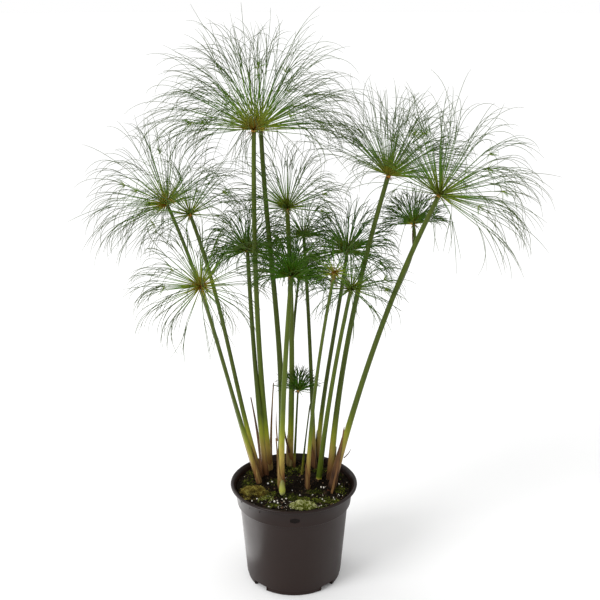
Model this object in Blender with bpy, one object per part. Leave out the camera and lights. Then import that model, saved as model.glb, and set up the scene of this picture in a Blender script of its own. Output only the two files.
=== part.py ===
"""Papyrus plant in a nursery pot: pot, soil, moss, stems with their umbels, sheaths and dead leaves.

The origin is the centre of the pot's underside, on the surface it stands on, with +Z up. Metres.
"""

import math
from dataclasses import dataclass

import bmesh
import bpy
import numpy as np
from mathutils import Matrix, Vector

MM = 0.001

# A 3 litre nursery pot, 190 mm across the rim
POT_HEIGHT = 0.153
RIM_RADIUS = 0.095
WALL = 0.0016
COLLAR_TOP_RADIUS = 0.0885
COLLAR_FOOT_RADIUS = 0.0855
COLLAR_FOOT_Z = 0.123
BODY_TOP_RADIUS = 0.0812
BODY_FOOT_RADIUS = 0.0718
FOOT_RADIUS = 0.0700
FOOT_HEIGHT = 0.008
POT_SIDES = 48

# Drain gaps through the lower corner, between the four feet
GAP_WIDTH = 0.024
GAP_DEPTH = 0.013
GAP_INNER_RADIUS = 0.057

# Bare label recess in the collar
RECESS_CENTRE = Vector((0.002, -0.0868, 0.134))
RECESS_WIDTH = 0.016
RECESS_HEIGHT = 0.009
RECESS_DEPTH = 0.0008

SOIL_Z = 0.143
CLEARANCE = 0.0003

STEM_SIDES = 6
STEM_RINGS = 6
STEM_BLUNTNESS = 0.86
SHEATH_THICKNESS = 1.1 * MM
SHEATH_MOUTH_THICKNESS = 0.7 * MM

# Shares of a lock's length where it has a section, and its radius there
LOCK_STATIONS = (0.0, 0.38, 0.72, 1.0)
LOCK_RADII = (6.0 * MM, 1.5 * MM, 1.1 * MM, 0.2 * MM)
LOCK_CLEARANCE = 2.2 * MM
LOCK_SPLAY = 0.35
LOCK_BEND = 2.6
LOCK_TRIES = 40
GOLDEN_ANGLE = math.radians(137.508)


@dataclass
class Shoot:
    """One stem and its umbel: foot on the soil, head under the umbel, in millimetres and degrees."""

    name: str
    foot: tuple
    head: tuple
    bow: tuple
    radius: float
    reach: float
    locks: int
    opening: float
    droop: float
    swing: float = 0.0
    crook: float = 0.0
    sheath: float = 0.0


# bow leans the middle of the stem in x and y, swing makes an S of it, crook bends its last tenth
SHOOTS = [
    Shoot("01", (-38.2, 54), (-54, 20, 672), (-7.4, 0), 3.9, 160, 26, 96, 0.30, sheath=62),
    Shoot("02", (-22, 47), (-47, 90, 667), (7.6, 0), 4.1, 150, 24, 96, 0.34, swing=-9),
    Shoot("03", (-54.6, 22), (-180, 50, 563), (7.3, -5), 3.05, 128, 22, 108, 0.34, swing=7),
    Shoot("04", (-50.7, 31), (-141, -10, 561), (2.6, 5), 3.2, 92, 14, 92, 0.30, swing=7.7),
    Shoot("05", (-51.6, 8), (-121, -90, 482), (-4.8, 22), 3.0, 98, 18, 106, 0.34, sheath=70),
    Shoot("06", (-43, 37), (-68, 75, 488), (-2, -10), 3.7, 74, 14, 100, 0.42),
    Shoot("07", (-7.4, 68), (-9, 40, 559), (5, 5), 4.0, 100, 16, 92, 0.30, sheath=55),
    Shoot("08", (31, 56.5), (15, 110, 502), (2, -10), 3.1, 66, 12, 100, 0.36, sheath=60),
    Shoot("09", (-19, -11), (-3, -30, 478), (-3, -25), 3.9, 64, 15, 96, 0.34, sheath=85),
    Shoot("10", (-6, 79), (9, 70, 462), (-6, 0), 2.3, 46, 8, 96, 0.30),
    Shoot("11", (55, 21), (132, 30, 607), (-13.3, -5), 4.0, 130, 22, 82, 0.26, sheath=58),
    Shoot("12", (55, -14), (191, -60, 598), (-9.8, 15), 4.0, 146, 24, 100, 0.32, swing=-2.5, sheath=92),
    Shoot("13", (58, 3), (190, 60, 531), (-11, 0), 2.8, 68, 12, 88, 0.26, crook=-17),
    Shoot("14", (36, 68), (78, 60, 492), (-4.1, -5), 3.3, 82, 15, 104, 0.36, swing=3.8, sheath=66),
    Shoot("15", (20, -11), (54, -90, 501), (-4.8, 25), 2.7, 56, 10, 100, 0.34, swing=1, sheath=48),
    Shoot("16", (38, 21), (80, -20, 457), (-3, 10), 3.4, 84, 14, 100, 0.32),
    Shoot("17", (0, 60), (6, 60, 272), (0, 0), 1.8, 38, 9, 100, 0.10),
]

# Dry leaves and leafless shoots: foot, middle and tip in millimetres, then half width and thickness
BLADES = [
    ("young_shoot", (12, 37, 0), (17, 30, 57), (25, 24, 129), 1.7, 1.4, "culm_green"),
    ("dead_stalk", (-36, 66, 0), (-35, 62, 70), (-30.5, 56, 150), 2.3, 1.4, "dead_leaf"),
    ("dead_blade", (-50, 52, 0), (-56.5, 46, 70), (-65.5, 38, 132), 2.7, 0.9, "dead_leaf"),
    ("dry_tip", (56, -26, 0), (66, -25, 56), (73.7, -27, 113), 1.6, 0.7, "dead_leaf"),
    ("cut_stub", (-24.5, 33, 0), (-25.5, 33, 34), (-27.5, 33, 66), 2.0, 1.5, "sheath_brown"),
]

# Moss cushions: centre x, y, half lengths along x and y, height above the soil
MOSSES = [
    ("moss_left", (-60, -22), (19, 15), 7),
    ("moss_front", (14, -64), (22, 14), 8),
]
BUD_CENTRE = (-17, -28.5)
BUD_RADIUS = 4.2
BUD_HEIGHT = 19.0

COLOURS = {
    "pot_plastic": ((0.055, 0.045, 0.042), 0.45),
    "potting_soil": ((0.020, 0.014, 0.009), 0.95),
    "culm_green": ((0.110, 0.190, 0.035), 0.50),
    "umbel_green": ((0.080, 0.200, 0.030), 0.60),
    "sheath_brown": ((0.260, 0.130, 0.060), 0.65),
    "dead_leaf": ((0.220, 0.110, 0.050), 0.80),
    "moss_green": ((0.150, 0.200, 0.030), 0.95),
    "bud_green": ((0.420, 0.450, 0.090), 0.50),
}


def material(name):
    """The plain material of one finish, made the first time that it is asked for."""
    made = bpy.data.materials.get(name)
    if made:
        return made
    colour, roughness = COLOURS[name]
    made = bpy.data.materials.new(name)
    made.use_nodes = True
    shader = made.node_tree.nodes["Principled BSDF"]
    shader.inputs["Base Color"].default_value = (*colour, 1.0)
    shader.inputs["Roughness"].default_value = roughness
    shader.inputs["Metallic"].default_value = 0.0
    return made


def add_object(name, bm, finish, smooth_angle=40.0):
    """Turns a bmesh into a named object with its faces out and its edges sharp past an angle."""
    bmesh.ops.recalc_face_normals(bm, faces=bm.faces)
    mesh = bpy.data.meshes.new(name)
    bm.to_mesh(mesh)
    bm.free()
    mesh.shade_smooth()
    mesh.set_sharp_from_angle(angle=math.radians(smooth_angle))
    mesh.materials.append(material(finish))
    thing = bpy.data.objects.new(name, mesh)
    bpy.context.collection.objects.link(thing)
    return thing


def turned(profile):
    """Spins a profile of (radius, z) points, from axis to axis, about Z."""
    bm = bmesh.new()
    points = [bm.verts.new((radius, 0.0, z)) for radius, z in profile]
    edges = [bm.edges.new(pair) for pair in zip(points, points[1:])]
    bmesh.ops.spin(
        bm,
        geom=points + edges,
        cent=(0.0, 0.0, 0.0),
        axis=(0.0, 0.0, 1.0),
        angle=math.tau,
        steps=POT_SIDES,
        use_merge=True,
    )
    bmesh.ops.remove_doubles(bm, verts=bm.verts, dist=1e-6)
    bmesh.ops.dissolve_degenerate(bm, dist=1e-7, edges=bm.edges)
    return bm


def wall_radius(z):
    """Radius of the pot's inner face at a height between its floor and its rim."""
    heights = (2 * WALL, FOOT_HEIGHT, COLLAR_FOOT_Z - 2 * WALL, COLLAR_FOOT_Z, POT_HEIGHT)
    radii = (FOOT_RADIUS, BODY_FOOT_RADIUS, BODY_TOP_RADIUS, COLLAR_FOOT_RADIUS, COLLAR_TOP_RADIUS + WALL)
    return float(np.interp(z, heights, radii)) - WALL


def gap_boxes(name, foot, grow, reach):
    """Four boxes at the corners between the feet, from a foot height up, as one cutting object."""
    bm = bmesh.new()
    top = FOOT_HEIGHT + grow
    for corner in range(4):
        turn = Matrix.Rotation(math.radians(45 + 90 * corner), 4, "Z")
        middle = Vector((GAP_INNER_RADIUS - grow + reach / 2, 0.0, (top + foot) / 2))
        size = Matrix.Diagonal((reach, GAP_WIDTH + 2 * grow, top - foot, 1.0))
        bmesh.ops.create_cube(bm, size=1.0, matrix=turn @ Matrix.Translation(middle) @ size)
    boxes = add_object(name, bm, "pot_plastic")
    boxes.hide_render = True
    boxes.display_type = "WIRE"
    return boxes


def boolean(target, cutter, operation):
    step = target.modifiers.new(f"{operation} {cutter.name}", "BOOLEAN")
    step.object = cutter
    step.operation = operation
    step.solver = "EXACT"


def recess_cutter():
    """A six-sided plate with sloping ends, set into the collar's front."""
    bm = bmesh.new()
    half, top = RECESS_WIDTH / 2, RECESS_HEIGHT / 2
    outline = [(-half, 0), (-half * 0.72, -top), (half * 0.72, -top), (half, 0), (half * 0.72, top), (-half * 0.72, top)]
    front = [bm.verts.new(RECESS_CENTRE + Vector((x, -0.01, z))) for x, z in outline]
    face = bm.faces.new(front)
    solid = bmesh.ops.extrude_face_region(bm, geom=[face])["geom"]
    back = [part for part in solid if isinstance(part, bmesh.types.BMVert)]
    bmesh.ops.translate(bm, verts=back, vec=(0.0, 0.01 + RECESS_DEPTH, 0.0))
    cutter = add_object("recess_cutter", bm, "pot_plastic")
    cutter.hide_render = True
    cutter.display_type = "WIRE"
    return cutter


def build_pot():
    """Moulded pot: rolled lip, collar, tapering body, and four feet parted by drain gaps."""
    lip = RIM_RADIUS
    outside = [
        (0.0, 0.0),
        (FOOT_RADIUS - 0.0015, 0.0),
        (FOOT_RADIUS, 0.0015),
        (FOOT_RADIUS + 0.0006, FOOT_HEIGHT - 0.0008),
        (BODY_FOOT_RADIUS, FOOT_HEIGHT),
        (BODY_TOP_RADIUS, COLLAR_FOOT_Z - 2 * WALL),
        (COLLAR_FOOT_RADIUS - 0.0006, COLLAR_FOOT_Z - 0.0010),
        (COLLAR_FOOT_RADIUS, COLLAR_FOOT_Z),
        (COLLAR_TOP_RADIUS, POT_HEIGHT - 0.0060),
        (lip - 0.0018, POT_HEIGHT - 0.0046),
        (lip, POT_HEIGHT - 0.0030),
        (lip - 0.0006, POT_HEIGHT - 0.0006),
        (lip - 0.0018, POT_HEIGHT),
        (lip - 0.0036, POT_HEIGHT - 0.0006),
    ]
    levels = (POT_HEIGHT - 0.0050, COLLAR_FOOT_Z, COLLAR_FOOT_Z - 2 * WALL, FOOT_HEIGHT, 2 * WALL)
    inside = [(wall_radius(z), z) for z in levels] + [(0.0, 2 * WALL)]
    pot = add_object("pot", turned(outside + inside), "pot_plastic")
    boolean(pot, gap_boxes("gap_linings", WALL, WALL, GAP_DEPTH), "UNION")
    boolean(pot, gap_boxes("gap_cutters", -FOOT_HEIGHT, 0.0, 2 * GAP_DEPTH), "DIFFERENCE")
    boolean(pot, recess_cutter(), "DIFFERENCE")


def build_soil():
    """The root ball: it fills the pot to 10 mm below the rim."""
    levels = (2 * WALL, FOOT_HEIGHT, COLLAR_FOOT_Z - 2 * WALL, COLLAR_FOOT_Z, SOIL_Z)
    side = [(wall_radius(z) - CLEARANCE, z) for z in levels]
    side[0] = (side[0][0], side[0][1] + CLEARANCE)
    soil = add_object("soil", turned([(0.0, side[0][1])] + side + [(0.0, SOIL_Z)]), "potting_soil")
    boolean(soil, gap_boxes("soil_cutters", 0.0, WALL + CLEARANCE, 2 * GAP_DEPTH), "DIFFERENCE")


def build_mosses():
    """Low cushions: the upper part of a squashed ball, flat underneath."""
    for name, centre, half, height in MOSSES:
        bm = bmesh.new()
        bmesh.ops.create_icosphere(bm, subdivisions=2, radius=1.0)
        bmesh.ops.scale(bm, vec=(half[0] * MM, half[1] * MM, height * MM), verts=bm.verts)
        under = bmesh.ops.bisect_plane(
            bm, geom=bm.verts[:] + bm.edges[:] + bm.faces[:], plane_co=(0, 0, 0), plane_no=(0, 0, -1), clear_outer=True
        )
        rim = [part for part in under["geom_cut"] if isinstance(part, bmesh.types.BMEdge)]
        bmesh.ops.holes_fill(bm, edges=rim)
        bmesh.ops.translate(bm, vec=(centre[0] * MM, centre[1] * MM, SOIL_Z + CLEARANCE), verts=bm.verts)
        add_object(name, bm, "moss_green")


def build_bud():
    """A new shoot's swollen tip, just out of the soil."""
    bm = bmesh.new()
    bmesh.ops.create_uvsphere(bm, u_segments=8, v_segments=6, radius=1.0)
    bmesh.ops.scale(bm, vec=(BUD_RADIUS * MM, BUD_RADIUS * MM, BUD_HEIGHT / 2 * MM), verts=bm.verts)
    place = (BUD_CENTRE[0] * MM, BUD_CENTRE[1] * MM, SOIL_Z + CLEARANCE + BUD_HEIGHT / 2 * MM)
    bmesh.ops.translate(bm, vec=place, verts=bm.verts)
    add_object("new_bud", bm, "bud_green")


def stem_point(shoot, u):
    """A point of the stem's centre line, from the foot at u = 0 to the head at u = 1."""
    hump = 4.0 * u * (1.0 - u)
    x = shoot.foot[0] + (shoot.head[0] - shoot.foot[0]) * u + (shoot.bow[0] + shoot.swing * (2.0 * u - 1.0)) * hump
    y = shoot.foot[1] + (shoot.head[1] - shoot.foot[1]) * u + shoot.bow[1] * hump
    x += shoot.crook * max(0.0, (u - 0.9) / 0.1) ** 2
    z = SOIL_Z / MM + (shoot.head[2] - SOIL_Z / MM) * u
    return Vector((x, y, z)) * MM + Vector((0.0, 0.0, CLEARANCE))


def stem_radius(shoot, u):
    """Stems are thickest at the foot and thinnest under the umbel."""
    return shoot.radius * MM * float(np.interp(u, (0.0, 0.12, 0.3, 1.0), (1.40, 1.25, 1.05, 0.82)))


def stem_ring(bm, centre, radius, turn, slant=Vector()):
    """A level ring of a bluntly three-cornered stem, one side of it raised along the slant."""
    ring = []
    for side in range(STEM_SIDES):
        angle = turn + math.tau * side / STEM_SIDES
        out = radius * (1.0 if side % 2 == 0 else STEM_BLUNTNESS)
        corner = Vector((out * math.cos(angle), out * math.sin(angle), 0.0))
        ring.append(bm.verts.new(centre + corner + slant * math.cos(angle - turn)))
    return ring


def skin(bm, rings):
    """Joins each ring to the next one with a band of faces."""
    for lower, upper in zip(rings, rings[1:]):
        for side in range(len(lower)):
            following = (side + 1) % len(lower)
            bm.faces.new((lower[side], lower[following], upper[following], upper[side]))


def stem_levels(shoot):
    """Where a stem's rings are: more of them where it has a crook."""
    levels = list(np.linspace(0.0, 1.0, STEM_RINGS))
    return levels if not shoot.crook else sorted(levels + [0.9, 0.95])


def build_stem(shoot):
    bm = bmesh.new()
    turn = 2.0 * int(shoot.name)
    rings = [stem_ring(bm, stem_point(shoot, u), stem_radius(shoot, u), turn) for u in stem_levels(shoot)]
    skin(bm, rings)
    bm.faces.new(reversed(rings[0]))
    bm.faces.new(rings[-1])
    add_object(f"culm_{shoot.name}", bm, "culm_green", 70.0)


def build_sheath(shoot):
    """A dry leaf sheath wrapped round the stem's foot, its mouth higher on one side."""
    bm = bmesh.new()
    turn = 2.0 * int(shoot.name)
    foot = stem_point(shoot, 0.0)
    along = stem_point(shoot, stem_levels(shoot)[1]) - foot
    along *= shoot.sheath * MM / along.z
    inner, outer = [], []
    for share, slant in ((0.0, 0.0), (0.5, 0.0), (0.85, 0.15)):
        centre = foot + along * share
        radius = stem_radius(shoot, 0.0) + CLEARANCE
        thickness = SHEATH_THICKNESS + (SHEATH_MOUTH_THICKNESS - SHEATH_THICKNESS) * share
        inner.append(stem_ring(bm, centre, radius, turn, along * slant))
        outer.append(stem_ring(bm, centre, radius + thickness, turn, along * slant))
    skin(bm, outer)
    skin(bm, inner)
    skin(bm, [outer[0], inner[0]])
    skin(bm, [outer[-1], inner[-1]])
    add_object(f"sheath_{shoot.name}", bm, "sheath_brown", 70.0)


def build_blade(name, foot, middle, tip, half_width, half_thickness, finish):
    """A narrow leaf along a bent line, four-sided and drawn out to a point."""
    ground = Vector((0.0, 0.0, SOIL_Z + CLEARANCE))
    foot, middle, tip = (ground + Vector(point) * MM for point in (foot, middle, tip))
    bm = bmesh.new()
    rings = []
    for u in (0.0, 0.35, 0.7, 0.97):
        centre = foot * (1 - u) * (1 - 2 * u) + middle * 4 * u * (1 - u) + tip * u * (2 * u - 1)
        wide = half_width * MM * (1.0 - 0.75 * u)
        thick = half_thickness * MM * (1.0 - 0.6 * u)
        ring = [Vector((wide, 0, 0)), Vector((0, thick, 0)), Vector((-wide, 0, 0)), Vector((0, -thick, 0))]
        rings.append([bm.verts.new(centre + corner) for corner in ring])
    skin(bm, rings)
    bm.faces.new(reversed(rings[0]))
    bm.faces.new(rings[-1])
    add_object(name, bm, finish, 70.0)


def samples(points, radii, step=0.003):
    """Points with radii along a bent line, close enough together to test clearances with."""
    rows = []
    for (start, end), (first, last) in zip(zip(points, points[1:]), zip(radii, radii[1:])):
        count = max(2, int((end - start).length / step) + 1)
        for share in np.linspace(0.0, 1.0, count):
            rows.append((*start.lerp(end, share), first + (last - first) * share))
    return np.array(rows)


def clear_of(rows, others):
    """Whether sampled points keep their distance from other sampled points."""
    if not len(others):
        return True
    near = others[np.linalg.norm(others[:, :3] - rows[:, :3].mean(axis=0), axis=1) < 0.2]
    gaps = np.linalg.norm(rows[:, None, :3] - near[None, :, :3], axis=2) - rows[:, None, 3] - near[None, :, 3]
    return gaps.size == 0 or gaps.min() > LOCK_CLEARANCE


def umbel_frame(shoot):
    """Where an umbel's hub is, which way it points, and the hub's radius."""
    axis = (stem_point(shoot, 1.0) - stem_point(shoot, 0.96)).normalized()
    hub_radius = (4.0 + 0.022 * shoot.reach) * MM
    lean = stem_radius(shoot, 1.0) * math.sqrt(max(0.0, 1.0 - axis.z**2))
    return stem_point(shoot, 1.0) + axis * (hub_radius + CLEARANCE + lean), axis, hub_radius


def lock_points(hub, heading, length, droop):
    """A lock's bent line: straight out of the hub, then bending over and down under its own weight."""
    down = Vector((0.0, 0.0, -1.0))
    outward = Vector((heading.x, heading.y, 0.0)).normalized()
    fall = (down - heading * heading.dot(down) + outward * LOCK_SPLAY) * droop * length
    return [hub + heading * length * share + fall * share**LOCK_BEND for share in LOCK_STATIONS]


def place_locks(shoot, taken, rng):
    """Bent lines for an umbel's locks, spread by the golden angle and clear of what is there."""
    hub, axis, hub_radius = umbel_frame(shoot)
    upright = Vector((0.0, 0.0, 1.0)).rotation_difference(axis)
    placed, whole, outer = [], np.empty((0, 4)), np.empty((0, 4))
    for index in range(shoot.locks):
        share = (index + 0.5) / shoot.locks
        for attempt in range(LOCK_TRIES):
            wander = 2.0 * attempt / LOCK_TRIES
            open_angle = math.acos(1.0 - share * (1.0 - math.cos(math.radians(shoot.opening))))
            open_angle += wander * rng.uniform(-0.6, 0.6)
            azimuth = index * GOLDEN_ANGLE + wander * rng.uniform(-1.0, 1.0)
            flat = Vector((math.cos(azimuth), math.sin(azimuth), 0.0)) * math.sin(open_angle)
            heading = upright @ (flat + Vector((0.0, 0.0, math.cos(open_angle))))
            length = shoot.reach * MM * rng.uniform(0.90, 1.0) * (1.0 if wander < 1.25 else 0.7)
            line = lock_points(hub, heading, length, shoot.droop)
            rows = samples(line, LOCK_RADII)
            ends = rows[len(rows) // 3:]
            if clear_of(rows, taken) and clear_of(ends, outer):
                placed.append((heading, line))
                whole = np.vstack([whole, rows])
                outer = np.vstack([outer, ends])
                break
    return placed, whole


def build_umbel(shoot, placed):
    """A hub with its locks of threads drawn out of the hub's own faces."""
    hub, axis, hub_radius = umbel_frame(shoot)
    bm = bmesh.new()
    bmesh.ops.create_icosphere(bm, subdivisions=1 if shoot.locks <= 16 else 2, radius=hub_radius)
    bmesh.ops.translate(bm, vec=hub, verts=bm.verts)
    free = [face for face in bm.faces if face.normal.dot(axis) > -0.75]
    for heading, line in placed:
        root = max(free, key=lambda face: face.normal.dot(heading))
        free.remove(root)
        draw_lock(bm, root, line)
    add_object(f"umbel_{shoot.name}", bm, "umbel_green", 70.0)


def draw_lock(bm, root, line):
    """Extrudes one hub face along a bent line and closes it in a point."""
    normal = root.normal.copy()
    centre = root.calc_center_median()
    corners = [vert.co - centre for vert in root.verts]
    corners = [corner / corner.length for corner in corners]
    face = root
    for step in range(1, len(line)):
        face = bmesh.ops.extrude_discrete_faces(bm, faces=[face])["faces"][0]
        ahead = (line[step] - line[step - 1]).normalized()
        turn = normal.rotation_difference(ahead)
        for vert, corner in zip(face.verts, corners):
            vert.co = line[step] + turn @ corner * LOCK_RADII[step]
    bmesh.ops.pointmerge(bm, verts=face.verts, merge_co=line[-1])


def main():
    for old in list(bpy.data.objects):
        bpy.data.objects.remove(old, do_unlink=True)
    build_pot()
    build_soil()
    build_mosses()
    build_bud()
    for blade in BLADES:
        build_blade(*blade)
    taken = np.empty((0, 4))
    for shoot in SHOOTS:
        build_stem(shoot)
        if shoot.sheath:
            build_sheath(shoot)
        levels = np.linspace(0.0, 1.0, 24)
        line = [stem_point(shoot, u) for u in levels]
        taken = np.vstack([taken, samples(line, [stem_radius(shoot, u) for u in levels])])
        hub, axis, hub_radius = umbel_frame(shoot)
        taken = np.vstack([taken, [(*hub, hub_radius)]])
    rng = np.random.default_rng(7)
    for shoot in SHOOTS:
        hub, axis, hub_radius = umbel_frame(shoot)
        away = np.linalg.norm(taken[:, :3] - np.array(hub), axis=1) > hub_radius + 0.012
        placed, own = place_locks(shoot, taken[away], rng)
        taken = np.vstack([taken, own])
        build_umbel(shoot, placed)


main()
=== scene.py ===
"""Looks of the potted papyrus plant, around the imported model. Metres, +Z up, the photograph's view along +Y."""

import math

import bpy
import numpy as np
from mathutils import Matrix, Vector, noise
from mathutils.bvhtree import BVHTree


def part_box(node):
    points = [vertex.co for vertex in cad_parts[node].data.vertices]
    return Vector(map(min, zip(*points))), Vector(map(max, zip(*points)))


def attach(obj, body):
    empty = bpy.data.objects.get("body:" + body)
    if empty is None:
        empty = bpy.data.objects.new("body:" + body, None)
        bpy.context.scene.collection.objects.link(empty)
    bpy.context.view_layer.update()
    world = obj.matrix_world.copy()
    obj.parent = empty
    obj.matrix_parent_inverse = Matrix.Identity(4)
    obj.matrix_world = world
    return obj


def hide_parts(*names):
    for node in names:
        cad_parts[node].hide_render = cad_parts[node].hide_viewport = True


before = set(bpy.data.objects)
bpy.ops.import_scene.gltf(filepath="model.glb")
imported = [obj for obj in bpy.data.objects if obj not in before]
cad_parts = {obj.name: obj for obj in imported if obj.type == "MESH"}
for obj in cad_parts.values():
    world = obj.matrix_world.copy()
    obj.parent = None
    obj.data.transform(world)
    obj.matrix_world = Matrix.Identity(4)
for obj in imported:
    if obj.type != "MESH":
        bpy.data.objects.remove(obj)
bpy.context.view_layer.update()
bpy.ops.object.select_all(action="DESELECT")

# View
# The photograph was taken from 1.35 m in front of the pot, a little above the tallest umbel, looking down.
# The focal length is the photograph's own, in pixels of a picture 600 wide.
MM = 0.001
CAMERA_PLACE = (0.0092, -1.35, 0.8565)
CAMERA_DIP = math.radians(17.25)
FOCAL_PIXELS = 996.0
PICTURE_PIXELS = 600.0
bpy.ops.object.camera_add(location=CAMERA_PLACE, rotation=(math.radians(90) - CAMERA_DIP, 0, 0))
camera = bpy.context.object
camera.data.sensor_width = 36.0
camera.data.lens = camera.data.sensor_width * FOCAL_PIXELS / PICTURE_PIXELS
bpy.context.scene.camera = camera

# Pot
# A moulded nursery pot of matt dark brown plastic, 190 mm across its rolled lip. Under the lip are a straight
# collar with a small recess and a tapering body, and its floor stands on four feet between drain gaps. The lip
# and the top of the collar under it carry painted shade, and the recess floor is painted darker as shade.
POT_SIDES = 144
POT_WALL = 1.6 * MM
LIP_RADIUS = 2.3 * MM
FOOT_RADIUS = 70.0 * MM
FOOT_HEIGHT = 8.0 * MM
GAP_SIZE = (26.0 * MM, 24.0 * MM)
GAP_INNER_RADIUS = 57.0 * MM
RECESS_CENTRE = (2.0 * MM, -86.8 * MM, 134.0 * MM)


def new_finish(name, roughness, specular=0.5):
    """A material with one shader, its tree and the shader."""
    made = bpy.data.materials.new(name)
    made.use_nodes = True
    shader = made.node_tree.nodes["Principled BSDF"]
    shader.inputs["Roughness"].default_value = roughness
    shader.inputs["Specular IOR Level"].default_value = specular
    return made, made.node_tree, shader


def add_node(tree, kind, **settings):
    """A shader node with its own settings, and the values of its sockets."""
    made = tree.nodes.new("ShaderNode" + kind)
    for key, value in settings.items():
        if hasattr(made, key):
            setattr(made, key, value)
        else:
            made.inputs[key.replace("_", " ")].default_value = value
    return made


def mottle(tree, scale, detail=4.0, stretch=(1, 1, 1), distortion=0.0):
    """A noise on the piece's own coordinates, stretched along an axis where that axis is under one."""
    place = add_node(tree, "TexCoord")
    mapping = add_node(tree, "Mapping", Scale=stretch)
    cloud = add_node(tree, "TexNoise", Scale=scale, Detail=detail, Distortion=distortion)
    tree.links.new(place.outputs["Object"], mapping.inputs["Vector"])
    tree.links.new(mapping.outputs["Vector"], cloud.inputs["Vector"])
    return cloud.outputs["Fac"]


def ramp(tree, source, stops):
    """Colours along a value: stops are (place, (red, green, blue)) or (place, grey)."""
    made = add_node(tree, "ValToRGB")
    line = made.color_ramp
    for number, (place, colour) in enumerate(stops):
        stop = line.elements[number] if number < 2 else line.elements.new(place)
        stop.position = place
        shade = colour if isinstance(colour, tuple) else (colour,) * 3
        stop.color = (*shade, 1.0)
    tree.links.new(source, made.inputs["Fac"])
    return made.outputs["Color"]


def blend_colours(tree, factor, first, second, mode="MIX"):
    """Mixes two colour outputs, or an output and a fixed colour."""
    made = add_node(tree, "Mix", data_type="RGBA", blend_type=mode)
    for socket, value in zip((0, 6, 7), (factor, first, second)):
        if isinstance(value, bpy.types.NodeSocket):
            tree.links.new(value, made.inputs[socket])
        else:
            made.inputs[socket].default_value = value if socket == 0 else (*value, 1.0)
    return made.outputs[2]


def roughen(tree, shader, height, strength, distance):
    """Gives the shader a bump from a height."""
    bump = add_node(tree, "Bump", Strength=strength, Distance=distance)
    tree.links.new(height, bump.inputs["Height"])
    tree.links.new(bump.outputs["Normal"], shader.inputs["Normal"])


def place_piece(piece, finish, slot, *nodes):
    """Puts a finished piece on the plant: its material, and the CAD nodes that it stands for, which it hides. The slot
    is not used.
    """
    piece.data.materials.clear()
    piece.data.materials.append(finish)
    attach(piece, "root")
    if nodes:
        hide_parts(*nodes)


def apply_modifier(piece, kind, **settings):
    """Adds a modifier and applies it at once."""
    step = piece.modifiers.new(kind.lower(), kind)
    for key, value in settings.items():
        setattr(step, key, value)
    bpy.context.view_layer.objects.active = piece
    bpy.ops.object.modifier_apply(modifier=step.name)


def four_boxes(inner, size, foot, top):
    """Boxes at the four corners between the feet, joined as one cutting object."""
    boxes = []
    for corner in range(4):
        angle = math.radians(45 + 90 * corner)
        middle = inner + size[0] / 2
        place = (middle * math.cos(angle), middle * math.sin(angle), (foot + top) / 2)
        bpy.ops.mesh.primitive_cube_add(size=1, location=place, rotation=(0, 0, angle), scale=(*size, top - foot))
        boxes.append(bpy.context.object)
    with bpy.context.temp_override(active_object=boxes[0], selected_editable_objects=boxes):
        bpy.ops.object.join()
    return boxes[0]


rim_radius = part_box("pot")[1].x
pot_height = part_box("pot")[1].z
collar_top = rim_radius - 6.5 * MM
collar_foot = rim_radius - 9.5 * MM
collar_foot_height = pot_height - 30.0 * MM
body_top = rim_radius - 13.8 * MM
body_foot = FOOT_RADIUS + 1.8 * MM
lip_middle = rim_radius - LIP_RADIUS
lip_height = pot_height - LIP_RADIUS
pot_profile = [
    (FOOT_RADIUS - 0.5 * MM, 0.4 * MM),
    (FOOT_RADIUS, 1.5 * MM),
    (FOOT_RADIUS + 0.6 * MM, FOOT_HEIGHT - 0.8 * MM),
    (body_foot - 0.3 * MM, FOOT_HEIGHT - 0.2 * MM),
    (body_foot, FOOT_HEIGHT + 0.4 * MM),
    (body_top, collar_foot_height - 3.4 * MM),
    (body_top + 0.7 * MM, collar_foot_height - 2.4 * MM),
    (collar_foot - 0.9 * MM, collar_foot_height - 1.2 * MM),
    (collar_foot - 0.2 * MM, collar_foot_height - 0.5 * MM),
    (collar_foot, collar_foot_height + 0.4 * MM),
    (collar_top, lip_height - 3.0 * MM),
    (collar_top + 0.5 * MM, lip_height - 2.3 * MM),
]
for step in range(9):
    angle = math.radians(-90 + 30 * step)
    pot_profile.append((lip_middle + LIP_RADIUS * math.cos(angle), lip_height + LIP_RADIUS * math.sin(angle)))
pot_profile += [
    (collar_top - 1.2 * MM, lip_height - 3.0 * MM),
    (collar_foot - POT_WALL, collar_foot_height),
    (body_top - POT_WALL, collar_foot_height - 3.4 * MM),
    (body_foot - POT_WALL, FOOT_HEIGHT),
    (FOOT_RADIUS - POT_WALL, 2 * POT_WALL),
]
start = FOOT_RADIUS - 1.5 * MM
bpy.ops.mesh.primitive_circle_add(vertices=POT_SIDES, radius=start, fill_type="NGON")
pot = bpy.context.object
pot.name = "pot_shell"
bpy.ops.object.mode_set(mode="EDIT")
reach, level = start, 0.0
for radius, height in pot_profile:
    bpy.ops.mesh.extrude_region_move(TRANSFORM_OT_translate={"value": (0, 0, height - level)})
    bpy.ops.transform.resize(value=(radius / reach, radius / reach, 1), center_override=(0, 0, height))
    reach, level = radius, height
bpy.ops.mesh.select_all(action="SELECT")
bpy.ops.mesh.normals_make_consistent(inside=False)
bpy.ops.object.mode_set(mode="OBJECT")
lining_size = (GAP_SIZE[0] / 2 + POT_WALL, GAP_SIZE[1] + 2 * POT_WALL)
linings = four_boxes(GAP_INNER_RADIUS - POT_WALL, lining_size, POT_WALL, FOOT_HEIGHT + POT_WALL)
gaps = four_boxes(GAP_INNER_RADIUS, GAP_SIZE, -FOOT_HEIGHT, FOOT_HEIGHT)
bpy.ops.mesh.primitive_cylinder_add(
    vertices=6, radius=1, depth=1, location=RECESS_CENTRE, rotation=(math.radians(90), 0, 0), scale=(8 * MM, 4.5 * MM, 1.6 * MM)
)
recess = bpy.context.object
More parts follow.
